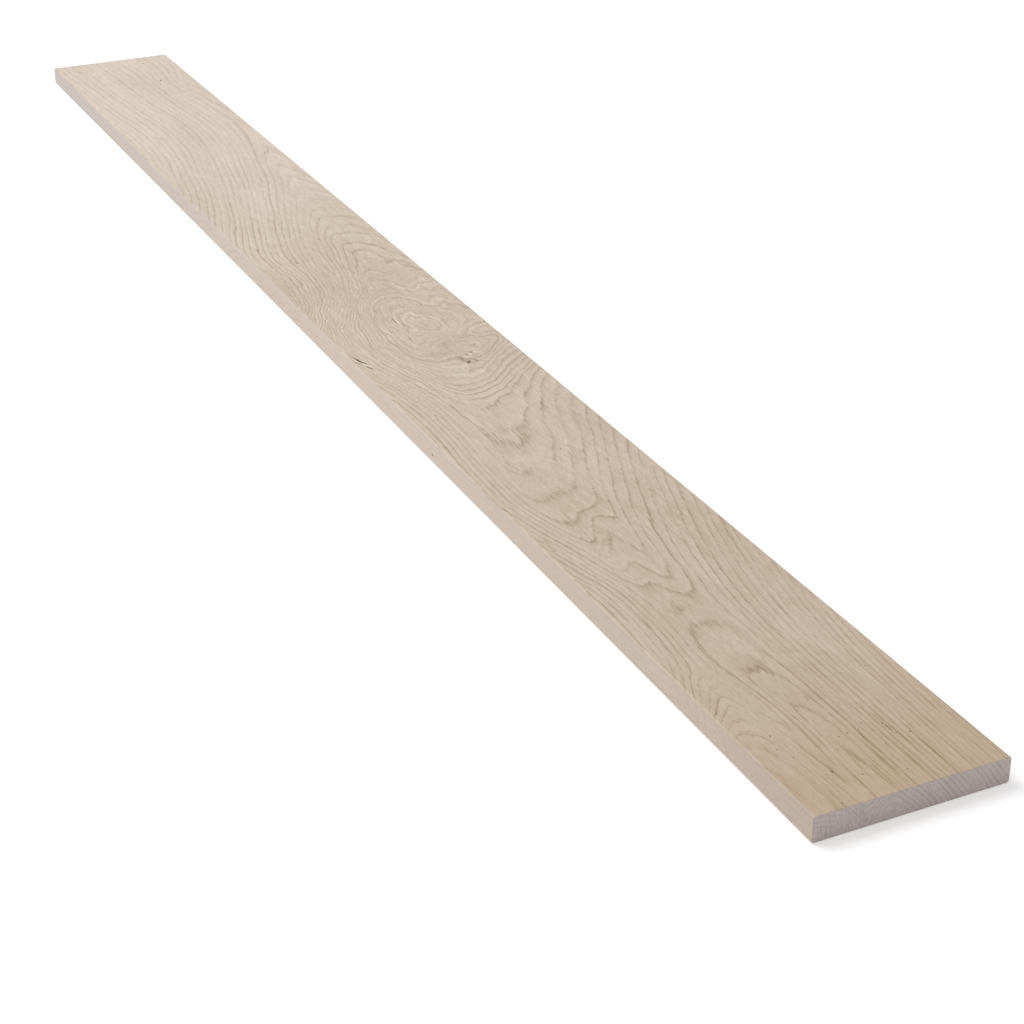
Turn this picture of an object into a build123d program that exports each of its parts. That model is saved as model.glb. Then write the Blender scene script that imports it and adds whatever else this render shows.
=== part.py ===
from build123d import *
import os

# Planed oak plank, one piece of stock lying flat on its wide face.
# Length runs along X, width along Y, thickness along Z, and the origin is the middle of the underside.

# Planed size of the stock
length = 1800 * MM
width = 150 * MM
thickness = 20 * MM

# The long arrises are rounded over after planing, and the sawn ends only have their sharp edge taken off
arris_radius = 2 * MM
end_ease = 0.4 * MM

with BuildPart() as plank:
    # Section square to the grain, standing on its wide lower side
    with BuildSketch(Plane.YZ) as section:
        RectangleRounded(width, thickness, arris_radius, align=(Align.CENTER, Align.MIN))
    extrude(amount=length / 2, both=True)

    # Eased edge all round each sawn end
    sawn_ends = plank.faces().filter_by(Axis.X)
    chamfer(sawn_ends.edges(), length=end_ease)

plank.part.label = "plank"

os.makedirs("parts", exist_ok=True)
export_step(plank.part, "parts/plank.step")
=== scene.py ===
"""Planed oak plank: the board with its checks and knot, its oak finish, and a plain stage."""

import math
from typing import NamedTuple

import bmesh
import bpy
from bpy.props import FloatProperty, FloatVectorProperty, PointerProperty
from mathutils import Matrix, Vector


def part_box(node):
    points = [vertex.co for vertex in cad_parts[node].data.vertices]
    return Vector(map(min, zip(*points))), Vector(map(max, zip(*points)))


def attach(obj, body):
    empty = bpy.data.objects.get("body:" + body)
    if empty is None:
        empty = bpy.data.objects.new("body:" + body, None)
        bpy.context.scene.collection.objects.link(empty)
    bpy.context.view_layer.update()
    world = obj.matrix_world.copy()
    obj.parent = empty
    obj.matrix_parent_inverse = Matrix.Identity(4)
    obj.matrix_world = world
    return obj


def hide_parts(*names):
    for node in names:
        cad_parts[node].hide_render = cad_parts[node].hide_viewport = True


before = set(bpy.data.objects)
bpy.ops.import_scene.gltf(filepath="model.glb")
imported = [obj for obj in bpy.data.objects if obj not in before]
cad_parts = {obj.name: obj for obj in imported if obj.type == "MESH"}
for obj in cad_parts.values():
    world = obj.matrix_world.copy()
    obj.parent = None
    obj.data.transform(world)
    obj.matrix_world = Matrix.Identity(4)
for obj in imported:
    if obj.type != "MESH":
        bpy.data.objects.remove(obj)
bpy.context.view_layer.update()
plank_low, plank_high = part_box("plank")

bl_info = {
    "name": "Oak plank",
    "version": (1, 0, 0),
    "blender": (4, 5, 0),
    "location": "3D View > Sidebar > Plank",
    "description": "Builds a planed oak plank with a grain that runs through the solid",
    "category": "Object",
}

# The run of the grain is told in millimetres: how far from the near end, how far from the back edge,
# and how deep under the upper face. A place on the upper face is the first two of these.
MM = 0.001
LENGTH = plank_high.x - plank_low.x
WIDTH = plank_high.y - plank_low.y
THICKNESS = plank_high.z - plank_low.z

# The log as the upper face cuts it. The crown is the flat stretch where the rings turn over, and from it
# the face runs down through the rings to the back edge and to the front edge. Each pair is a distance from
# the near end and the ring that shows there: on the crown, at the back edge and at the front edge.
CROWN = [
    (0, -0.6), (65, 0.2), (112, 1.0), (172, 2.0), (215, 2.5), (236, 2.85), (250, 2.95), (263, 2.8),
    (286, 2.0), (318, 1.0), (354, 0.0), (400, -1.0), (440, -2.0), (548, -4.3), (600, -4.8), (630, -5.6),
    (646, -7.2), (700, -12.5), (750, -15.2), (805, -16.2), (860, -15.2), (920, -12.3), (1000, -9.4),
    (1105, -5.4), (1200, -2.2), (1300, 0.0), (1430, 1.6), (1550, 1.0), (1650, -0.4), (1800, -0.4),
]
BACK_EDGE = [
    (0, 20.0), (100, 18.9), (200, 16.6), (300, 12.9), (420, 7.6), (520, 3.0), (590, -0.4), (635, -3.4),
    (700, -10.4), (805, -14.0), (900, -12.0), (960, -9.6), (1100, -4.2), (1200, -0.6), (1300, 1.8),
    (1450, 2.3), (1600, -0.3), (1800, -1.4),
]
FRONT_EDGE = [
    (0, -1.0), (45, -1.6), (95, 1.3), (155, 7.0), (215, 10.2), (270, 10.6), (340, 8.4), (420, 4.4),
    (465, 3.2), (530, 3.6), (600, 4.4), (640, 3.4), (700, -0.3), (750, -3.5), (805, -4.6), (860, -2.2),
    (920, 3.4), (1000, 7.6), (1100, 11.2), (1200, 15.2), (1300, 18.2), (1450, 20.4), (1600, 18.6),
    (1800, 16.4),
]
# Rings to the millimetre across the two slopes
BACK_SLOPE = [
    (0, 0.235), (100, 0.222), (200, 0.185), (300, 0.145), (420, 0.118), (520, 0.1), (600, 0.06),
    (680, 0.035), (760, 0.04), (960, 0.045), (1150, 0.06), (1300, 0.1), (1800, 0.1),
]
FRONT_SLOPE = [(0, 0.19), (300, 0.21), (900, 0.19), (1100, 0.16), (1800, 0.115)]
# The least and the greatest value that each kind of curve can take
CROWN_RANGE = (-20, 10)
EDGE_RANGE = (-20, 30)
SLOPE_RANGE = (0, 0.3)
# How softly the rings turn over at the crown, in rings
CROWN_TURN = 1.2
# How far the log leans along the plank for each millimetre of depth
LEAN = 3.0
# The heart of the log, from which the rays spread out
HEART_FROM_BACK = 140
HEART_DEPTH = 130
# Hills and hollows in the rings: place, half length, half width, and height in rings
HILLS = [
    (724, 34, 24, 22, -2.4), (804, 54, 34, 24, -2.2), (764, 30, 16, 34, 1.3), (862, 66, 22, 16, -1.2),
    (700, 84, 26, 14, 0.9), (1665, 12, 45, 26, -1.5), (48, 154, 58, 22, -2.4),
]
# Stretches along the plank: the distance of their middle from the near end, and half their length
BACK_LEAN = (690, 90)
FRONT_LEAN = (676, 80)
FURROW_BEND = (290, 75)
CLOSE_RINGS = (850, 120)
SWIRLING_RINGS = (840, 180)
SOFT_RINGS = (830, 120)
DARK_STRETCH = (930, 150)
# Lean of the rings before the knot: behind a line it is a share of the distance from that line, with a soft
# turn, and in front it grows over a strip to a full length
BACK_LEAN_LINE = 72
BACK_LEAN_TURN = 8
BACK_LEAN_SHARE = 0.5
FRONT_LEAN_STRIP = (78, 112)
FRONT_LEAN_LENGTH = 26
# Furrow along the crown: its distance from the back edge, how much further off it bends, its half width,
# the middle of its length, and the distances from there over which it comes in
FURROW_LINE = 88
FURROW_SHIFT = 13
FURROW_HALF_WIDTH = 10
FURROW_MIDDLE = 328
FURROW_FADE = (105, 65)
# Fold by the near end: its distance from the back edge, how much further off it moves and over which
# stretch, its half width, its height in rings, and the stretch over which it comes in
FOLD_LINE = 110
FOLD_SHIFT = 12
FOLD_BEND = (70, 190)
FOLD_HALF_WIDTH = 11
FOLD_HEIGHT = 3.2
FOLD_FADE = (210, 120)
# Ring in the middle of the eye, and how much closer the rings are around it
EYE_RING = -16
EYE_CLOSER = 0.55
# How much less the rings tilt with depth towards the back, and over how many rings that comes in
BACK_TILT = 0.35
BACK_TILT_RINGS = (0.0, 18.0)
# How fast the width of the rings changes from year to year, and how much
YEAR_RATE = 0.7
YEAR_SPREAD = 0.7

# Lumps in the noise: their length, width and depth
WAVER_SIZE = (220, 34, 24)
SWIRL_SIZE = (52, 28, 22)
STRAND_SIZE = (30, 1.5, 1.5)
FAINT_SIZE = (75, 20, 16)
FIBRE_SIZE = (38, 1.7, 1.7)
PORE_SIZE = (13, 0.9, 0.9)
SPECKLE_SIZE = (6, 0.8, 0.8)
MOTTLE_SIZE = (22, 5, 5)
PATCH_SIZE = (120, 40, 30)
RAGGED_SIZE = (8, 2.5, 2.5)
# Rays and streaks: their length and depth, how many rays to a millimetre and how many streaks to a ring
RAY_LENGTH = 15
RAY_DEPTH = 9
RAYS_PER_MM = 1.3
STREAK_LENGTH = 90
STREAK_DEPTH = 40
STREAKS_PER_RING = 4.5

# The belt of a ring and the line in it, in shares of the ring: where they rise, and where they fall away
BELT_RISE = (0.84, 1.0)
BELT_FALL = (0.55, 0.0)
LINE_FALL = (0.26, 0.0)
# Changes along the plank: the distances from the near end where they begin and where they are full
FAINT_FAR = (900, 1500)
FAINT_BACK = (640, 480)
STRONG_NEAR = (180, 40)
# The paler far end, and against it the warmer near end, are partly the wood's tone and partly painted sheen
PALE_SHEEN_FAR = (300, 1500)
WARM_NEAR = (240, 0)
WARM_HALF = (900, 350)
WARM_BACK = (520, 260)
# Partly painted sheen: the wood greyer towards the far end
GREY_SHEEN_FAR = (850, 1600)
# Painted shade and painted cool light: the long edges darker and greyer towards the far end
GREY_EDGE = (500, 1900)
PALE_EDGE = (0, 220)
# Strips along the back edge: the distances from it where a change begins and where it is full
FAINT_STRIP = (75, 35)
WARM_STRIP = (14, 2)
# How much of each colour shows where it is fullest
BELT_SHARE = 0.42
DASH_SHARE = 0.52
WARM_SHARE = 0.36
# Partly painted sheen on the far end
GREY_SHEEN_SHARE = 0.2
# Painted cool light on the long edges
EDGE_SHARE = 0.75
END_RING_SHARE = 0.4
HALO_SHARE = 0.8
# Partly painted highlights on the torn fibres
FIBRE_HIGHLIGHT_SHARE = 0.8
PIN_SHARE = 0.9
# Painted shade down in the hollows
HOLLOW_SHADE_SHARE = 0.85
# How much less the painted shade of the hollows shows in the knot
KNOT_SHADE_LESS = 0.4
# Where the rings show more or less than elsewhere: place, half length, half width, how much more
RING_CONTRAST = [
    (26, 107, 26, 9, -0.6), (60, 140, 90, 32, -0.2), (200, 90, 62, 26, -0.4), (300, 95, 60, 30, -0.25),
    (470, 95, 70, 36, 0.45), (572, 94, 26, 24, -0.4), (830, 55, 110, 50, -0.35),
    (1070, 20, 120, 32, -0.25),
]
# Patches of open pores where a ring lies nearly flat in the face: place, half length, half width, slant
FLECK_PATCHES = [
    (167, 87, 13, 8, -0.6), (116, 78, 8, 4, 0.0), (250, 103, 10, 4, -0.3), (366, 102, 7, 8, 0.0),
    (505, 50, 17, 6, -0.5), (515, 110, 14, 3, 0.0), (572, 91, 6, 15, 0.1), (600, 36, 22, 4, -0.15),
]
# Brown streaks at the near end: place and half length
BROWN_STREAKS = [
    (30, 41, 26), (24, 59, 24), (46, 50, 14), (34, 76, 20), (14, 103, 18), (66, 52, 12), (18, 85, 16),
    (36, 112, 9), (8, 126, 12), (58, 73, 10),
]
STREAK_HALF_WIDTH = 1.0
# Pale torn fibres beside the knot and the checks, partly painted highlights where they catch the light:
# place, half length, half width, slant
FIBRE_HIGHLIGHTS = [
    (731, 46.0, 2.4, 1.3, 0.3), (727, 52.6, 3.0, 1.0, 0.4), (734, 40.5, 2.4, 1.1, 0.2),
    (758, 144.0, 9.0, 0.8, 0.33), (745, 138.9, 6.0, 0.7, 0.4), (831, 76.9, 13.0, 0.8, -0.06),
    (812, 95.0, 9.0, 0.8, 0.2),
]
# Single spots: place, half length, half width, slant
DARK_SPOT = (926, 48, 34, 22, -0.3)
CURL_SPOT = (1632, 34, 52, 20)
KNOT_HALO = (722, 57, 12, 5, 0.27)
# Pin mark in the front edge: distance from the near end, depth, half length, half height
EDGE_PIN = (581, 12.5, 1.7, 1.2)
# Depths at which the brown patch round the knot and the pale fibres with their painted highlights give out
# and are full, and over which the painted shade of the hollows comes in and goes again
HALO_DEPTH = (8, 4)
FIBRE_HIGHLIGHT_DEPTH = (1.5, 0.5)
HOLLOW_SHADE_START = (0.1, 0.9)
HOLLOW_SHADE_END = (12.0, 9.0)
# How far from the sides a hollow starts to count as inside the board, and where it fully does
INSIDE = (0.6, 1.5)

# Knot in the upper face: place, length and width of its hollow, and its half sizes for the colour
KNOT_PLACE = (724, 50)
KNOT_SIZE = (44, 30)
KNOT_COLOUR_SIZE = (20, 14)
# Pits in the knot: offset along and across, half length, half width, share of the depth, turn
KNOT_PITS = [
    (8.0, -4.5, 3.6, 1.2, 1.0, -0.7), (7.6, 3.2, 2.4, 1.5, 0.9, 0.5), (-7.1, 0.6, 2.8, 1.2, 0.6, 0.3),
    (-9.8, 6.3, 1.8, 1.1, 0.5, 0.3), (-4.1, 6.8, 2.0, 1.1, 0.5, -0.4), (1.0, -6.8, 5.5, 1.2, 0.4, -0.2),
]
KNOT_HOLLOW = 0.06  # share of the depth
KNOT_CUTS = 63
# Ragged outline of the pits: how far it goes in and out, its corners, and its turn for each millimetre
PIT_RAGGED = 0.25
PIT_CORNERS = 3
PIT_TURN = 20
# Power of the distance by which the walls of a pit fall
PIT_STEEP = 3
# Drying checks in the upper face: places of their two ends, width, share of the depth
CHECKS = [
    ((747.5, 138.4), (772, 146.7), 2.3, 1.0), ((750.5, 143.7), (760, 146.9), 1.2, 0.45),
    ((736.5, 137.8), (748, 142.6), 1.6, 0.6), ((818, 79.2), (846, 77.6), 0.9, 0.6),
    ((806, 91.5), (815, 92.5), 0.9, 0.5), ((775, 83.0), (799, 81.2), 0.6, 0.4),
]
CHECK_STEPS = 8
CHECK_SWAY = 0.25  # share of the width
CHECK_WAVE = 5  # radians from the middle to a tip
CHECK_PHASE = 900  # radians to the metre along the plank
CHECK_CLOSING = 0.7  # share of the width that is gone at the bottom
CHECK_TIP_WIDTH = 0.1  # share of the width
CHECK_TIP_DEPTH = 0.15  # share of the depth
# Pin marks in the upper face: place and half length
PIN_MARKS = [
    (52, 42, 1.0), (55, 51, 0.8), (68, 53, 0.9), (95, 55, 0.7), (74, 65, 0.9), (18, 68, 0.8),
    (60, 73, 0.9), (69, 71, 0.7), (92, 72, 0.7), (68, 80, 0.9), (67, 87, 0.8), (35, 89, 0.7),
    (25, 97, 0.9), (55, 96, 0.8), (105, 95, 0.7), (36, 113, 1.5), (5, 126, 1.0), (60, 126, 0.8),
    (87, 127, 0.9), (72, 131, 0.7), (125, 145, 0.8), (107, 20, 0.7), (132, 23, 0.7), (131, 43, 0.7),
    (447, 69, 1.2), (522, 60, 1.0), (625, 127, 1.1), (948, 121, 1.2), (1015, 97, 1.3), (1013, 109, 2.2),
    (1015, 115, 1.2), (1687, 42, 2.6), (1770, 40, 1.6),
]
PIN_SLANT = 0.15
PIN_WIDTH = 1.1  # share of the half length
PIN_DEPTH = 1.4
# Torn fibres in the upper face: place and length
TORN_MARKS = [
    (572, 75.5, 7), (577, 78.0, 8), (571, 80.8, 5), (505, 108.0, 8), (517, 110.6, 10), (529, 109.0, 7),
    (497, 53.0, 7), (512, 57.0, 8), (524, 52.0, 6), (452, 62.0, 6), (224, 91.0, 5), (40, 41.0, 9),
    (63, 50.0, 8), (47, 64.0, 7),
]
TORN_SLANT = -0.1
TORN_WIDTH = 0.8
TORN_DEPTH = 0.6

# Segments of the rounded long edges and of the eased ends
ARRIS_SEGMENTS = 6
EASE_SEGMENTS = 2
# Lengths, in metres, that count as nothing: between points, in a cut, and at the rim of the knot
TINY = 1e-6
CUT_TINY = 1e-7
RIM_TINY = 1e-5
# How much of its normal lies along one axis in a flat face, and upwards in a face of the upper side
FLAT = 0.999
FACING_UP = 0.99
# Where each side lies on the map for baking: left, low, width and height
MAP_SIZE = 1024
UPPER_ROW = (6, 6, 1012, 440)
UNDER_ROW = (6, 458, 1012, 300)
FRONT_ROW = (6, 770, 1012, 60)
BACK_ROW = (6, 842, 1012, 60)
NEAR_ROW = (6, 914, 480, 64)
FAR_ROW = (498, 914, 480, 64)
# Faces of the upper half that lie further inside the board than this, in metres, are walls of hollows
WALL_MARGIN = 0.002

# The stage, with sizes and places in metres and the roll of the camera in radians
FLOOR_REACH = 30.0
FLOOR_GAP = 0.0002
LAMP_SIZE = 2.6
LAMP_PLACE = Vector((-1.2, -1.2, 3.0))
CAMERA_PLACE = Vector((1.7648, -0.6913, 0.7893))
CAMERA_FORWARD = Vector((-0.79663, 0.38011, -0.46999)).normalized()
CAMERA_RIGHT = Vector((0.43064, 0.90253, 0.0)).normalized()
CAMERA_ROLL = -0.0028
CAMERA_REACH = 100.0
SENSOR_WIDTH = 36.0  # millimetres, as the camera counts it
# Strength of the glow that makes the floor white, how much stronger it is far off, and over which distances
FLOOR_GLOW = 0.35
FLOOR_GLOW_FAR = 0.25
FLOOR_GLOW_FADE = (0.9, 3.5)

# A hump or a spot has faded out at this many times its half length
FADE = 1.75


def tint(red, green, blue):
    """A colour as it is read off a picture, from 0 to 255, for a shader."""
    shares = (red / 255, green / 255, blue / 255)
    return tuple(v / 12.92 if v <= 0.04045 else ((v + 0.055) / 1.055) ** 2.4 for v in shares)


class PlankShape(bpy.types.PropertyGroup):
    arris: FloatProperty(
        name="Arris radius", description="Radius of the rounded long edges",
        default=0.002, min=0.0002, max=0.008, unit="LENGTH")
    end_ease: FloatProperty(
        name="End ease", description="Flat taken off the edges of the sawn ends",
        default=0.0004, min=0.0001, max=0.003, unit="LENGTH")
    check_depth: FloatProperty(
        name="Check depth", description="Depth of the drying checks",
        default=0.004, min=0.0005, max=0.015, unit="LENGTH")
    knot_depth: FloatProperty(
        name="Knot depth", description="Depth of the torn pit in the knot",
        default=0.0016, min=0.0002, max=0.01, unit="LENGTH")


class OakGrain(bpy.types.PropertyGroup):
    rings_deep: FloatProperty(
        name="Rings per mm of depth", description="Growth rings crossed in one millimetre of thickness",
        default=0.22, min=0.05, max=1.0)
    waver: FloatProperty(
        name="Waver", description="How much the rings waver, in ring widths",
        default=1.3, min=0.0, max=6.0)
    swirl: FloatProperty(
        name="Swirl", description="How much more they waver around the knot, in ring widths",
        default=5.4, min=0.0, max=10.0)
    strands: FloatProperty(
        name="Strands", description="How far the fibres fray the rings, in ring widths",
        default=0.45, min=0.0, max=3.0)


class OakColours(bpy.types.PropertyGroup):
    dark_wood: FloatVectorProperty(
        name="Dark wood", description="Darkest and yellowest tone of the wood between the rings",
        subtype="COLOR", size=3, min=0, max=1, default=tint(180, 160, 134))
    pale_wood: FloatVectorProperty(
        name="Pale wood", description="Palest and greyest tone of the wood between the rings",
        subtype="COLOR", size=3, min=0, max=1, default=tint(228, 214, 198))
    early_wood: FloatVectorProperty(
        name="Early wood", description="Open wood at the start of each ring",
        subtype="COLOR", size=3, min=0, max=1, default=tint(164, 143, 115))
    pore: FloatVectorProperty(
        name="Pores", description="Open pores in the early wood",
        subtype="COLOR", size=3, min=0, max=1, default=tint(126, 98, 66))
    # The edge and end colours are greyer and pinker than the upper face: painted cool light on the faces
    # that look sideways, over the wood's own colour
    edge: FloatVectorProperty(
        name="Edges", description="Planed long edges",
        subtype="COLOR", size=3, min=0, max=1, default=tint(213, 196, 179))
    # Painted shade: the long edges darker and greyer towards the far end
    shaded_far_edge: FloatVectorProperty(
        name="Far edges", description="Greyer edges towards the far end",
        subtype="COLOR", size=3, min=0, max=1, default=tint(176, 166, 161))
    # Painted cool light over the sawn ends' own end grain
    end_grain_and_side_light: FloatVectorProperty(
        name="End grain", description="Sawn ends",
        subtype="COLOR", size=3, min=0, max=1, default=tint(205, 192, 187))
    end_ring: FloatVectorProperty(
        name="End rings", description="Early wood in the sawn ends",
        subtype="COLOR", size=3, min=0, max=1, default=tint(150, 137, 131))
    # Partly painted: warmer towards the near end, against a far end that a painted sheen makes paler
    warm: FloatVectorProperty(
        name="Warm wood", description="Warmer wood towards the near end and along the back edge",
        subtype="COLOR", size=3, min=0, max=1, default=tint(184, 155, 116))
    # Partly painted sheen: paler, greyer wood towards the far end
    cool: FloatVectorProperty(
        name="Grey wood", description="Greyer wood towards the far end",
        subtype="COLOR", size=3, min=0, max=1, default=tint(214, 206, 200))
    brown: FloatVectorProperty(
        name="Brown streaks", description="Stained streaks at the near end",
        subtype="COLOR", size=3, min=0, max=1, default=tint(154, 122, 82))
    # Laid in the checks and the pin marks of the upper face as painted shade, and on the pin mark of the
    # front edge
    knot: FloatVectorProperty(
        name="Knot", description="Dark wood in the knot, the checks and the pin marks",
        subtype="COLOR", size=3, min=0, max=1, default=tint(84, 62, 45))


class PlankStage(bpy.types.PropertyGroup):
    floor: FloatVectorProperty(
        name="Floor", description="Colour of the floor",
        subtype="COLOR", size=3, min=0, max=1, default=tint(240, 240, 240))
    sky: FloatProperty(
        name="Surrounding light", description="Strength of the even light from all round",
        default=0.5, min=0.0, max=2.0)
    lamp: FloatProperty(
        name="Lamp", description="Power of the large soft lamp",
        default=77.0, min=0.0, max=2000.0, unit="POWER")
    lens: FloatProperty(
        name="Lens", description="Focal length of the camera",
        default=0.07383, min=0.02, max=0.3, unit="CAMERA")


class Wire:
    """A socket in a node tree. Sums, products and the like of wires and numbers add Math nodes."""

    def __init__(self, tree, socket=None):
        self.tree = tree
        self.socket = socket

    def node(self, kind, settings=None, sockets=None, out=0):
        """Adds a node of a kind, with its settings first, then values or wires for its sockets.

        It gives the wire of one output, or a list of wires where out is a tuple of names.
        """
        made = self.tree.nodes.new(kind)
        for name, value in (settings or {}).items():
            if name == "points":
                lay_curve(made.mapping, value)
            else:
                setattr(made, name, value)
        for name, value in (sockets or {}).items():
            if isinstance(value, Wire):
                self.tree.links.new(value.socket, made.inputs[name])
            else:
                made.inputs[name].default_value = value
        if isinstance(out, tuple):
            return [Wire(self.tree, made.outputs[name]) for name in out]
        return Wire(self.tree, made.outputs[out]) if len(made.outputs) else None

    def math(self, operation, *values):
        """Adds a Math node that works on values or wires."""
        return self.node("ShaderNodeMath", {"operation": operation}, dict(enumerate(values)))

    def __add__(self, other):
        return self.math("ADD", self, other)

    __radd__ = __add__

    def __sub__(self, other):
        return self.math("SUBTRACT", self, other)

    def __rsub__(self, other):
        return self.math("SUBTRACT", other, self)

    def __mul__(self, other):
        return self.math("MULTIPLY", self, other)

    __rmul__ = __mul__

    def __truediv__(self, other):
        return self.math("DIVIDE", self, other)

    def __rtruediv__(self, other):
        return self.math("DIVIDE", other, self)

    def __pow__(self, other):
        return self.math("POWER", self, other)

    def __mod__(self, other):
        return self.math("FLOORED_MODULO", self, other)

    def __abs__(self):
        return self.math("ABSOLUTE", self)


def empty_tree(owner):
    """Clears the nodes of a material or a world, and gives a wire to start from."""
    owner.use_nodes = True
    owner.node_tree.nodes.clear()
    return Wire(owner.node_tree)


def lay_curve(mapping, points):
    """Lays a smooth curve through points, the first and last at the ends of its range."""
    curve = mapping.curves[0]
    curve.points[0].location = points[0]
    curve.points[1].location = points[-1]
    for x, y in points[1:-1]:
        curve.points.new(x, y)
    for point in curve.points:
        point.handle_type = "AUTO_CLAMPED"
    mapping.update()


def along(wire, points, low, high):
    """A value that follows listed points along the plank, which lie between low and high."""
    reach = points[-1][0]
    span = high - low
    shares = [(x / reach, (y - low) / span) for x, y in points]
    share = wire.node("ShaderNodeFloatCurve", {"points": shares}, {"Value": wire / reach})
    return share * span + low


def ease(value, start, end):
    """Goes from 0 at start to 1 at end, smoothly, and start may be the greater."""
    return value.node(
        "ShaderNodeMapRange", {"interpolation_type": "SMOOTHSTEP"},
        {"Value": value, "From Min": start, "From Max": end})


def hump(value, middle, reach):
    """1 at the middle, falling away smoothly on both sides."""
    return ease(abs(value - middle), FADE * reach, 0.0)


def combine(x, y, z=0.0):
    """Two or three values as a vector."""
    return x.node("ShaderNodeCombineXYZ", {}, {0: x, 1: y, 2: z})


def spot(where, x, y, reach_x, reach_y, slant=0.0):
    """1 at a place, falling away smoothly all round, longer one way than the other, turned by a slant."""
    near = where.node(
        "ShaderNodeMapping", {"vector_type": "TEXTURE"},
        {"Vector": where, "Location": (x, y, 0), "Rotation": (0, 0, slant), "Scale": (reach_x, reach_y, 1)})
    far = where.node("ShaderNodeVectorMath", {"operation": "LENGTH"}, {0: near}, out="Value")
    return ease(far, FADE, 0.0)


def over(value, soft):
    """The value where it is above nothing, with a soft turn."""
    return 0.5 * (value + (value * value + soft * soft) ** 0.5)


def noise(vector, detail=0.0, rough=0.5):
    """Noise about nothing, whose lumps are one unit across."""
    return vector.node(
        "ShaderNodeTexNoise", {"noise_dimensions": "3D"},
        {"Vector": vector, "Scale": 1.0, "Detail": detail, "Roughness": rough}) - 0.5


def cloud(point, size, detail=0.0, rough=0.5):
    """Noise about nothing, whose lumps have a length, a width and a depth in millimetres."""
    lumps = [1 / (part * MM) for part in size]
    scaled = point.node("ShaderNodeVectorMath", {"operation": "MULTIPLY"}, {0: point, 1: lumps})
    return noise(scaled, detail, rough)


def blend(share, first, second):
    """A colour that goes from the first to the second, each a wire or three numbers."""
    ends = [colour if isinstance(colour, Wire) else (*colour, 1.0) for colour in (first, second)]
    return share.node("ShaderNodeMix", {"data_type": "RGBA"}, {0: share, 6: ends[0], 7: ends[1]}, out=2)


def shade(colour, amount):
    """A colour made lighter or darker by a factor."""
    return amount.node("ShaderNodeVectorMath", {"operation": "SCALE"}, {0: colour, "Scale": amount})


class Place(NamedTuple):
    """Where a point of the wood lies, in metres and as the tables tell it, and which way it faces."""

    point: Wire
    from_end: Wire
    from_back: Wire
    depth: Wire
    face: Wire
    facing_x: Wire
    facing_y: Wire


class FineMarks(NamedTuple):
    """Fine marks that run through the whole of the wood, each of them noise about nothing."""

    fibre: Wire
    pores: Wire
    speckle: Wire
    rays: Wire


def find_place(start):
    """Where the point that is shaded lies in the plank."""
    point = start.node("ShaderNodeTexCoord", out="Object")
    x, y, z = start.node("ShaderNodeSeparateXYZ", {}, {0: point}, out=("X", "Y", "Z"))
    from_end = (plank_high.x - x) / MM
    from_back = (plank_high.y - y) / MM
    depth = (plank_high.z - z) / MM
    normal = start.node("ShaderNodeNewGeometry", out="True Normal")
    facing = start.node("ShaderNodeSeparateXYZ", {}, {0: normal}, out=("X", "Y"))
    return Place(point, from_end, from_back, depth, combine(from_end, from_back), *facing)


def ring_count(at, grain):
    """Counts growth rings through the solid, so that faces, edges and ends show one and the same log."""
    x = at.from_end + at.depth * LEAN
    y = at.from_back
    # Before the knot the rings lean over towards the far end, on both sides of the crown
    back_lean = BACK_LEAN_SHARE * over(BACK_LEAN_LINE - y, BACK_LEAN_TURN) * hump(x, *BACK_LEAN)
    front_lean = FRONT_LEAN_LENGTH * ease(y, *FRONT_LEAN_STRIP) * hump(x, *FRONT_LEAN)
    x -= back_lean + front_lean
    crown = along(x, CROWN, *CROWN_RANGE)
    back = along(x, BACK_EDGE, *EDGE_RANGE) - along(x, BACK_SLOPE, *SLOPE_RANGE) * y
    front = along(x, FRONT_EDGE, *EDGE_RANGE) - along(x, FRONT_SLOPE, *SLOPE_RANGE) * (WIDTH / MM - y)
    rings = crown + over(back - crown, CROWN_TURN) + over(front - crown, CROWN_TURN)
    # Furrow along the crown that makes the zigzag stretch
    furrow = FURROW_LINE + FURROW_SHIFT * hump(x, *FURROW_BEND)
    rings += hump(y, furrow, FURROW_HALF_WIDTH) * ease(abs(x - FURROW_MIDDLE), *FURROW_FADE)
    # By the near end a fold runs along the front side
    fold = FOLD_LINE + FOLD_SHIFT * ease(x, *FOLD_BEND)
    rings += FOLD_HEIGHT * hump(y, fold, FOLD_HALF_WIDTH) * ease(x, *FOLD_FADE)
    # Knot, the eye beside it, and lumps here and there
    here = combine(x, y)
    for *where, height in HILLS:
        rings += height * spot(here, *where)
    # Around the eye the rings are closer and wander more
    rings += (rings - EYE_RING) * EYE_CLOSER * hump(x, *CLOSE_RINGS)
    rings += cloud(at.point, WAVER_SIZE, detail=2.0) * grain.waver
    rings += cloud(at.point, SWIRL_SIZE, detail=3.0, rough=0.55) * grain.swirl * hump(x, *SWIRLING_RINGS)
    # Fibres run along the plank and fray the rings where they cross them
    rings += cloud(at.point, STRAND_SIZE, detail=2.0, rough=0.6) * grain.strands
    # The rings lie flat under the crown and tilt towards the back
    rings -= at.depth * grain.rings_deep * (1 - BACK_TILT * ease(back - crown, *BACK_TILT_RINGS))
    # Good and poor years: rings of uneven width
    years = rings.node(
        "ShaderNodeTexNoise", {"noise_dimensions": "1D"},
        {"W": rings * YEAR_RATE, "Scale": 1.0, "Detail": 1.0})
    return rings + YEAR_SPREAD * (years - 0.5)


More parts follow.
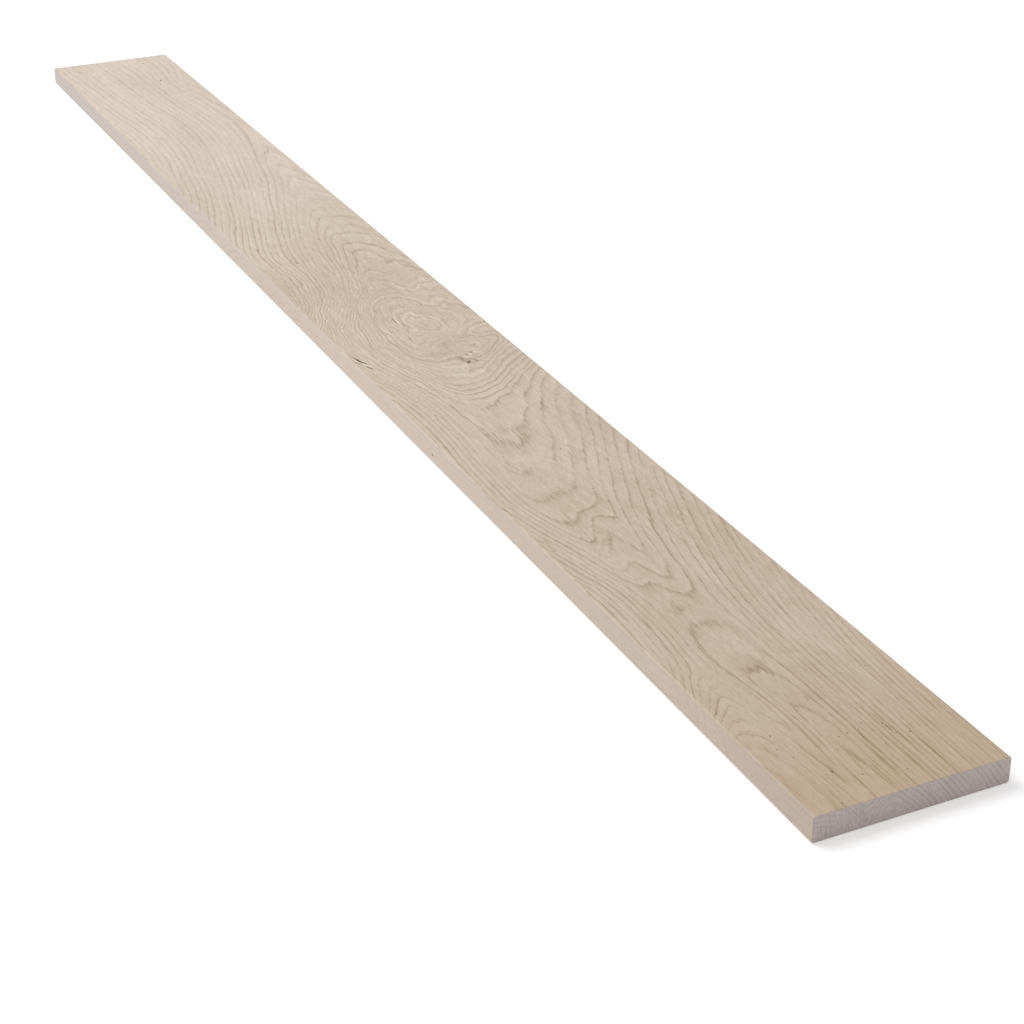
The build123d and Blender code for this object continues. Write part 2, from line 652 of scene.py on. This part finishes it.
def ring_belts(at, rings, soft):
    """The belt of open early wood in each ring, and the darker line in it, of uneven strength."""
    phase = rings % 1.0
    number = rings.math("FLOOR", rings)
    strength = rings.node("ShaderNodeTexWhiteNoise", {"noise_dimensions": "1D"}, {"W": number}, out="Value")
    faint = cloud(at.point, FAINT_SIZE, detail=2.0)
    strength = (0.4 + 0.6 * strength) * ease(faint, -0.36, 0.04)
    # They fade towards the far end and a little towards the back edge, and are stronger at the near end
    strength *= 1 - 0.35 * ease(at.from_end, *FAINT_FAR)
    strength *= 1 - 0.16 * ease(at.from_back, *FAINT_STRIP) * ease(at.from_end, *FAINT_BACK)
    strength *= 1 + 0.3 * ease(at.from_end, *STRONG_NEAR)
    for *where, more in RING_CONTRAST:
        strength *= 1 + more * spot(at.face, *where)
    # A short rise leads up to the start of a ring, and a longer fall follows it
    rise = ease(phase, *BELT_RISE)
    belt = (ease(phase, *BELT_FALL) + rise) * (strength + 0.35 * soft)
    line = (ease(phase, *LINE_FALL) + rise) * strength * (1 - 0.3 * soft)
    return belt, line


def fine_marks(at):
    """Fibres, pores and rays."""
    # Rays are thin sheets that stand on the rings and spread out from the heart of the log
    spread = (HEART_FROM_BACK - at.from_back) * (HEART_DEPTH / (HEART_DEPTH - at.depth))
    sheets = combine(at.from_end / RAY_LENGTH, spread * RAYS_PER_MM, at.depth / RAY_DEPTH)
    return FineMarks(
        fibre=cloud(at.point, FIBRE_SIZE, detail=2.0, rough=0.65),
        pores=cloud(at.point, PORE_SIZE, detail=1.0),
        speckle=cloud(at.point, SPECKLE_SIZE, detail=1.0),
        rays=noise(sheets, detail=1.0))


def wood_tone(at, rings, fine, soft):
    """How pale the wood between the rings is, from 0 to 1."""
    # Streaks keep to the run of the rings
    run = combine(at.from_end / STREAK_LENGTH, rings * STREAKS_PER_RING, at.depth / STREAK_DEPTH)
    streaks = noise(run, detail=2.0, rough=0.65)
    mottle = cloud(at.point, MOTTLE_SIZE, detail=2.0)
    patches = cloud(at.point, PATCH_SIZE, detail=2.0)
    # The slight paling towards the far end is painted sheen
    tone = 0.435 + 0.01 * ease(at.from_end, *PALE_SHEEN_FAR) - 0.1 * hump(at.from_end, *DARK_STRETCH)
    tone -= 0.12 * spot(at.face, *DARK_SPOT)
    tone += 0.5 * (fine.fibre + streaks + mottle + patches)
    tone += 0.3 * fine.rays + 0.75 * fine.speckle + 0.9 * streaks * soft
    # Curl across the grain by the far end
    curl = rings.math("SINE", at.from_end * 0.31 + at.from_back * 0.1 + 6 * patches)
    return tone + 0.1 * curl * spot(at.face, *CURL_SPOT)


def stain_and_sheen_wood(wood, at, fine, colours):
    """Adds warmer wood, greyer wood that is partly painted sheen towards the far end, and brown streaks."""
    # Warmer towards the near end, and there also along the back edge, and greyer towards the far end; the
    # warm near end and the grey far end are partly the wood's tone and partly painted sheen on the far end
    warm = ease(at.from_end, *WARM_NEAR) + 0.3 * ease(at.from_end, *WARM_HALF)
    warm += 0.3 * ease(at.from_back, *WARM_STRIP) * ease(at.from_end, *WARM_BACK)
    wood = blend(warm * WARM_SHARE, wood, colours.warm)
    wood = blend(ease(at.from_end, *GREY_SHEEN_FAR) * GREY_SHEEN_SHARE, wood, colours.cool)
    brown = 0.65 + 2.5 * fine.pores
    for *where, reach in BROWN_STREAKS:
        wood = blend(brown * spot(at.face, *where, reach, STREAK_HALF_WIDTH), wood, colours.brown)
    return wood


def colour_sides(wood, at, belt, fine, colours):
    """Adds the long edges and the sawn ends, greyer and pinker than the upper face: painted cool light on
    the faces that look sideways. The edges also darken towards the far end as painted shade, and the ends
    show darker rings.
    """
    # Painted cool light on the long edges, and painted shade that grows towards the far end
    edge_wood = blend(ease(at.from_end, *GREY_EDGE), colours.edge, colours.shaded_far_edge)
    edge_wood = shade(edge_wood, 0.93 + 0.1 * ease(at.from_end, *PALE_EDGE) + 0.2 * fine.fibre)
    wood = blend(ease(abs(at.facing_y), 0.0, 0.9) * EDGE_SHARE, wood, edge_wood)
    # Painted cool light on the sawn ends, over their own rings
    end_wood = blend(belt * END_RING_SHARE, colours.end_grain_and_side_light, colours.end_ring)
    end_wood = shade(end_wood, 1.0 + 0.5 * fine.rays + 0.4 * fine.pores)
    return blend(ease(abs(at.facing_x), 0.5, 0.9), wood, end_wood)


def colour_flaws(wood, at, colours):
    """Adds a brown patch round the knot, pale torn fibres partly painted as highlights, and painted shade
    down in the hollows, in the knot partly its own darker wood.
    """
    ragged = cloud(at.point, RAGGED_SIZE, detail=2.0, rough=0.6)
    halo = ease(spot(at.face, *KNOT_HALO) + 1.4 * ragged, 0.1, 1.1) * ease(at.depth, *HALO_DEPTH)
    wood = blend(halo * HALO_SHARE, wood, colours.early_wood)
    # Pale torn fibres, partly painted highlights where they catch the light
    pale = ease(at.depth, *FIBRE_HIGHLIGHT_DEPTH)
    for mark in FIBRE_HIGHLIGHTS:
        wood = blend(pale * spot(at.face, *mark) * FIBRE_HIGHLIGHT_SHARE, wood, colours.pale_wood)
    pin = spot(combine(at.from_end, at.depth), *EDGE_PIN) * ease(at.facing_y, -0.5, -0.9)
    wood = blend(pin * PIN_SHARE, wood, colours.knot)
    # Painted shade: down in the hollows of the knot, the checks and the pin marks, which are what lies
    # under the upper face and inside the sides, the wood is darkened; in the knot this is partly its own
    # darker wood
    middle_x = LENGTH / 2 / MM
    middle_y = WIDTH / 2 / MM
    hollow = ease(at.depth, *HOLLOW_SHADE_START) * ease(at.depth, *HOLLOW_SHADE_END)
    hollow *= ease(middle_y - abs(at.from_back - middle_y), *INSIDE)
    hollow *= ease(middle_x - abs(at.from_end - middle_x), *INSIDE)
    by_knot = spot(at.face, *KNOT_PLACE, *KNOT_COLOUR_SIZE)
    dark = blend(by_knot, colours.knot, colours.pore)
    return blend(hollow * (HOLLOW_SHADE_SHARE - KNOT_SHADE_LESS * by_knot), wood, dark)


def oak_finish(grain, colours):
    """Planed oak, bare and matt, with open pores."""
    material = bpy.data.materials.new("oak")
    start = empty_tree(material)
    at = find_place(start)
    rings = ring_count(at, grain)
    soft = hump(at.from_end, *SOFT_RINGS)
    belt, line = ring_belts(at, rings, soft)
    fine = fine_marks(at)
    # The pores are tubes along the plank, cut into short dashes
    flecks = 0.5 * sum(spot(at.face, *patch) for patch in FLECK_PATCHES)
    dashes = ease(line + flecks + 1.5 * fine.pores + 0.9 * fine.speckle, 0.22, 0.98)

    wood = blend(wood_tone(at, rings, fine, soft), colours.dark_wood, colours.pale_wood)
    wood = blend(belt * BELT_SHARE, wood, colours.early_wood)
    wood = blend(dashes * DASH_SHARE, wood, colours.pore)
    wood = stain_and_sheen_wood(wood, at, fine, colours)
    wood = colour_sides(wood, at, belt, fine, colours)
    wood = colour_flaws(wood, at, colours)

    relief = 0.4 * (fine.fibre + fine.pores)
    bump = start.node("ShaderNodeBump", {}, {"Height": relief, "Strength": 0.3, "Distance": 0.2 * MM})
    rough = 0.5 + 0.15 * dashes + 0.2 * fine.fibre
    surface = start.node(
        "ShaderNodeBsdfPrincipled", {},
        {"Base Color": wood, "Roughness": rough, "Normal": bump, "IOR": 1.5, "Sheen Weight": 0.15,
         "Sheen Roughness": 0.4})
    start.node("ShaderNodeOutputMaterial", {}, {"Surface": surface})
    return material


class Oblong(NamedTuple):
    """A rectangle in the upper face: its middle, its two directions, its length and its width."""

    middle: Vector
    lengthways: Vector
    sideways: Vector
    length: float
    width: float

    def holds(self, point):
        """Whether it holds a point of the upper face."""
        offset = point - self.middle
        return (abs(offset.z) < TINY and abs(offset.dot(self.lengthways)) < self.length / 2
                and abs(offset.dot(self.sideways)) < self.width / 2)


def top_point(from_end, from_back):
    """A point of the upper face from its distances, in millimetres, from the near end and the back edge."""
    return Vector((plank_high.x - from_end * MM, plank_high.y - from_back * MM, plank_high.z))


def plain_board(shape):
    """A board with rounded long edges and eased ends."""
    board = bmesh.new()
    bmesh.ops.create_cube(board, size=1.0)
    bmesh.ops.scale(board, vec=(LENGTH, WIDTH, THICKNESS), verts=board.verts)
    bmesh.ops.translate(board, vec=(plank_low + plank_high) / 2, verts=board.verts)
    long_edges = [
        edge for edge in board.edges if abs(edge.verts[0].co.x - edge.verts[1].co.x) > LENGTH / 2]
    bmesh.ops.bevel(
        board, geom=long_edges, offset=shape.arris, offset_type="OFFSET", affect="EDGES",
        segments=ARRIS_SEGMENTS, profile=0.5, material=-1)
    rims = [
        edge for edge in board.edges
        if abs(edge.verts[0].co.x - edge.verts[1].co.x) < TINY and len(edge.link_faces) == 2]
    bmesh.ops.bevel(
        board, geom=rims, offset=shape.end_ease, offset_type="OFFSET", affect="EDGES",
        segments=EASE_SEGMENTS, profile=0.5, material=-1)
    for face in board.faces:
        face.smooth = max(abs(part) for part in face.normal) < FLAT
    board.normal_update()
    return board


def lies_near(face, middle, reach):
    """Whether a face of the upper side comes within reach of a point of it."""
    corners = [vert.co for vert in face.verts]
    if min(abs(corner.z - plank_high.z) for corner in corners) > TINY or face.normal.z < FACING_UP:
        return False
    return all(
        min(corner[i] for corner in corners) < middle[i] + reach
        and max(corner[i] for corner in corners) > middle[i] - reach
        for i in (0, 1))


def split_faces(board, faces, point, across):
    """Cuts faces in two along a plane through a point."""
    parts = dict.fromkeys(part for face in faces for part in (face, *face.edges, *face.verts))
    bmesh.ops.bisect_plane(board, geom=list(parts), dist=CUT_TINY, plane_co=point, plane_no=across)


def patch_faces(board, oblong):
    """The faces of the upper side that lie in an oblong."""
    faces = [face for face in board.faces if oblong.holds(face.calc_center_median())]
    if not faces:
        raise RuntimeError(f"no part of the upper face lies under {tuple(oblong.middle)}")
    return faces


def cut_patch(board, oblong):
    """Cuts an oblong of the upper face free and returns its faces."""
    cuts = [(oblong.sideways, oblong.width * share) for share in (-0.5, 0.5)]
    cuts += [(oblong.lengthways, oblong.length * share) for share in (-0.5, 0.5)]
    reach = oblong.length + oblong.width
    for axis, offset in cuts:
        around = [face for face in board.faces if lies_near(face, oblong.middle, reach)]
        split_faces(board, around, oblong.middle + axis * offset, axis)
    return patch_faces(board, oblong)


def taper(share, tip):
    """1 in the middle of a check, where the share along it is 0, falling to a tip at -1 and 1."""
    return max(tip, 1 - share * share)


def cut_check(board, start, end, width, depth):
    """A drying check: a split along the grain, pointed at both ends, that closes as it goes down."""
    middle = (start + end) / 2
    length = (end - start).length
    lengthways = (end - start).normalized()
    sideways = lengthways.cross(Vector((0, 0, 1)))
    oblong = Oblong(middle, lengthways, sideways, length, width)
    faces = cut_patch(board, oblong)
    for step in range(1, CHECK_STEPS):
        split_faces(board, faces, middle + lengthways * (length * (step / CHECK_STEPS - 0.5)), lengthways)
        faces = patch_faces(board, oblong)
    phase = start.x * CHECK_PHASE

    def sway(share):
        """How far the check swings to the side, which differs from one check to the next."""
        return CHECK_SWAY * width * math.sin(share * CHECK_WAVE + phase) * taper(share, CHECK_TIP_WIDTH)

    for vert in {vert for face in faces for vert in face.verts}:
        offset = vert.co - middle
        share = offset.dot(lengthways) / (length / 2)
        narrower = taper(share, CHECK_TIP_WIDTH) - 1
        vert.co += sideways * (offset.dot(sideways) * narrower + sway(share))
    bottom = bmesh.ops.extrude_face_region(board, geom=faces)["geom"]
    bmesh.ops.delete(board, geom=faces, context="FACES")
    for vert in bottom:
        if not isinstance(vert, bmesh.types.BMVert):
            continue
        offset = vert.co - middle
        share = offset.dot(lengthways) / (length / 2)
        vert.co -= sideways * ((offset.dot(sideways) - sway(share)) * CHECK_CLOSING)
        vert.co.z -= depth * taper(share, CHECK_TIP_DEPTH)


def cut_mark(board, from_end, from_back, half_length, slant, width, depth):
    """A short check around a place, all in millimetres."""
    middle = top_point(from_end, from_back)
    half = Vector((half_length * MM, slant * half_length * MM, 0))
    cut_check(board, middle - half, middle + half, width * MM, depth * MM)


def pit_depth(x, y):
    """How deep the pits of the knot are at an offset from its middle, as a share of its depth."""
    sunk = 0.0
    for pit_x, pit_y, reach_x, reach_y, share, turn in KNOT_PITS:
        u = (x - pit_x) * math.cos(turn) + (y - pit_y) * math.sin(turn)
        v = (y - pit_y) * math.cos(turn) - (x - pit_x) * math.sin(turn)
        far = math.hypot(u / reach_x, v / reach_y)
        far *= 1 + PIT_RAGGED * math.sin(PIT_CORNERS * math.atan2(v, u) + PIT_TURN * pit_x)
        sunk += share * max(0.0, 1 - far ** PIT_STEEP)
    return sunk


def sink_knot(board, depth):
    """The knot: a torn pit with smaller pits beside it, in a slightly sunk hollow."""
    length, width = (size * MM for size in KNOT_SIZE)
    middle = top_point(*KNOT_PLACE)
    oblong = Oblong(middle, Vector((1, 0, 0)), Vector((0, 1, 0)), length, width)
    face = cut_patch(board, oblong)[0]
    bmesh.ops.subdivide_edges(board, edges=list(face.edges), cuts=KNOT_CUTS, use_grid_fill=True)
    inner = oblong._replace(length=length - 2 * RIM_TINY, width=width - 2 * RIM_TINY)
    for vert in board.verts:
        if not inner.holds(vert.co):
            continue
        offset = vert.co - middle
        edge_x = 1 - (abs(offset.x) / (length / 2)) ** 2
        edge_y = 1 - (abs(offset.y) / (width / 2)) ** 2
        vert.co.z -= depth * (KNOT_HOLLOW * edge_x * edge_y + pit_depth(offset.x / MM, offset.y / MM))


def lay_map(board):
    """Lays the sides out in rows for baking, each along the whole length, with the ends side by side."""
    layer = board.loops.layers.uv.new("OFBake")
    for face in board.faces:
        across = [abs(part) for part in face.normal]
        middle = face.calc_center_median()
        inside = min(WIDTH / 2 - abs(middle.y), LENGTH / 2 - abs(middle.x))
        sunk = middle.z > plank_low.z + THICKNESS / 2 and inside > WALL_MARGIN
        for loop in face.loops:
            x, y, z = [
                (loop.vert.co[i] - plank_low[i]) / (plank_high[i] - plank_low[i]) for i in range(3)]
            if sunk or across[2] >= max(across[:2]):
                row = UPPER_ROW if sunk or face.normal.z > 0 else UNDER_ROW
                share = (x, y)
            elif across[1] >= across[0]:
                row = FRONT_ROW if face.normal.y < 0 else BACK_ROW
                share = (x, z)
            else:
                row = NEAR_ROW if face.normal.x > 0 else FAR_ROW
                share = (y, z)
            left, low, wide, high = row
            loop[layer].uv = ((left + share[0] * wide) / MAP_SIZE, (low + share[1] * high) / MAP_SIZE)


class OAK_OT_plank(bpy.types.Operator):
    """Build the plank with its eased edges, its drying checks and its knot"""

    bl_idname = "oak.plank"
    bl_label = "Plank"
    bl_options = {"REGISTER", "UNDO"}

    def execute(self, context):
        scene = context.scene
        shape = scene.plank_shape
        board = plain_board(shape)
        sink_knot(board, shape.knot_depth)
        for start, end, width, share in CHECKS:
            cut_check(board, top_point(*start), top_point(*end), width * MM, share * shape.check_depth)
        for *place, size in PIN_MARKS:
            cut_mark(board, *place, size, PIN_SLANT, PIN_WIDTH * size, PIN_DEPTH)
        for *place, length in TORN_MARKS:
            cut_mark(board, *place, length / 2, TORN_SLANT, TORN_WIDTH, TORN_DEPTH)
        bmesh.ops.recalc_face_normals(board, faces=board.faces)
        lay_map(board)

        mesh = bpy.data.meshes.new("oak_board")
        board.to_mesh(mesh)
        board.free()
        mesh.materials.append(oak_finish(scene.oak_grain, scene.oak_colours))
        plank = bpy.data.objects.new("oak_board", mesh)
        context.collection.objects.link(plank)
        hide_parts("plank")
        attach(plank, "root")
        return {"FINISHED"}


def seen_directly(start):
    """1 for what the camera, a mirror or a pane shows, 0 for what only lights other things."""
    camera, glossy, passing = start.node(
        "ShaderNodeLightPath", out=("Is Camera Ray", "Is Glossy Ray", "Is Transmission Ray"))
    return start.math("MINIMUM", camera + glossy + passing, 1.0)


def floor_finish(look):
    """Pale floor that looks white where nothing shades it."""
    material = bpy.data.materials.new("pale_floor")
    start = empty_tree(material)
    matt = start.node("ShaderNodeBsdfDiffuse", {}, {"Color": (*look.floor, 1.0)})
    place = start.node("ShaderNodeTexCoord", out="Object")
    far = start.node("ShaderNodeVectorMath", {"operation": "LENGTH"}, {0: place}, out="Value")
    glow = seen_directly(start) * (FLOOR_GLOW + FLOOR_GLOW_FAR * ease(far, *FLOOR_GLOW_FADE))
    lift = start.node("ShaderNodeEmission", {}, {"Strength": glow})
    both = start.node("ShaderNodeAddShader", {}, {0: matt, 1: lift})
    start.node("ShaderNodeOutputMaterial", {}, {"Surface": both})
    return material


def lay_floor(context, look):
    """A wide pale floor just under the plank."""
    ground = bmesh.new()
    bmesh.ops.create_grid(ground, x_segments=1, y_segments=1, size=FLOOR_REACH)
    bmesh.ops.translate(ground, vec=(0, 0, plank_low.z - FLOOR_GAP), verts=ground.verts)
    mesh = bpy.data.meshes.new("pale_floor")
    ground.to_mesh(mesh)
    ground.free()
    mesh.materials.append(floor_finish(look))
    floor = bpy.data.objects.new("pale_floor", mesh)
    context.collection.objects.link(floor)


def light_world(scene, look):
    """Even white light from all round, and a white background."""
    world = bpy.data.worlds.new("studio")
    start = empty_tree(world)
    strength = look.sky + seen_directly(start) * (1.0 - look.sky)
    glow = start.node("ShaderNodeBackground", {}, {"Color": (1, 1, 1, 1), "Strength": strength})
    start.node("ShaderNodeOutputWorld", {}, {"Surface": glow})
    scene.world = world


def hang_lamp(context, look):
    """A large soft lamp that shines on the middle of the plank."""
    lamp = bpy.data.lights.new("soft_lamp", "AREA")
    lamp.shape = "DISK"
    lamp.size = LAMP_SIZE
    lamp.energy = look.lamp
    soft = bpy.data.objects.new("soft_lamp", lamp)
    soft.location = LAMP_PLACE
    soft.rotation_euler = (-LAMP_PLACE).to_track_quat("-Z", "Y").to_euler()
    context.collection.objects.link(soft)


def set_camera(context, look):
    """The camera, which looks along the plank from above its near end."""
    eye = bpy.data.cameras.new("view")
    eye.sensor_width = SENSOR_WIDTH
    eye.lens = look.lens / MM
    eye.clip_end = CAMERA_REACH
    camera = bpy.data.objects.new("view", eye)
    up = CAMERA_RIGHT.cross(CAMERA_FORWARD)
    turn = Matrix((CAMERA_RIGHT, up, -CAMERA_FORWARD)).transposed() @ Matrix.Rotation(CAMERA_ROLL, 3, "Z")
    camera.matrix_world = Matrix.Translation(CAMERA_PLACE) @ turn.to_4x4()
    context.collection.objects.link(camera)
    context.scene.camera = camera


class OAK_OT_stage(bpy.types.Operator):
    """Set out a pale floor, soft light and the camera"""

    bl_idname = "oak.stage"
    bl_label = "Stage"
    bl_options = {"REGISTER", "UNDO"}

    def execute(self, context):
        look = context.scene.plank_stage
        context.scene.view_settings.view_transform = "Standard"
        lay_floor(context, look)
        light_world(context.scene, look)
        hang_lamp(context, look)
        set_camera(context, look)
        return {"FINISHED"}


# Each group of values in the panel, and the operator that stands under it
PANEL_ROWS = (
    ("plank_shape", None),
    ("oak_grain", None),
    ("oak_colours", "oak.plank"),
    ("plank_stage", "oak.stage"),
)


class OAK_PT_plank(bpy.types.Panel):
    """Sizes, grain, colours and stage of the oak plank"""

    bl_idname = "OAK_PT_plank"
    bl_label = "Oak plank"
    bl_space_type = "VIEW_3D"
    bl_region_type = "UI"
    bl_category = "Plank"

    def draw(self, context):
        layout = self.layout
        for group, operator in PANEL_ROWS:
            values = getattr(context.scene, group)
            box = layout.box()
            for name in values.__annotations__:
                box.prop(values, name)
            if operator:
                box.operator(operator)


GROUPS = {
    "plank_shape": PlankShape,
    "oak_grain": OakGrain,
    "oak_colours": OakColours,
    "plank_stage": PlankStage,
}
TOOLS = (OAK_OT_plank, OAK_OT_stage, OAK_PT_plank)


def register():
    for name, group in GROUPS.items():
        bpy.utils.register_class(group)
        setattr(bpy.types.Scene, name, PointerProperty(type=group))
    for tool in TOOLS:
        bpy.utils.register_class(tool)


def unregister():
    for tool in reversed(TOOLS):
        bpy.utils.unregister_class(tool)
    for name, group in reversed(GROUPS.items()):
        delattr(bpy.types.Scene, name)
        bpy.utils.unregister_class(group)


def main():
    register()
    bpy.ops.oak.plank()
    bpy.ops.oak.stage()


if __name__ == "__main__":
    main()
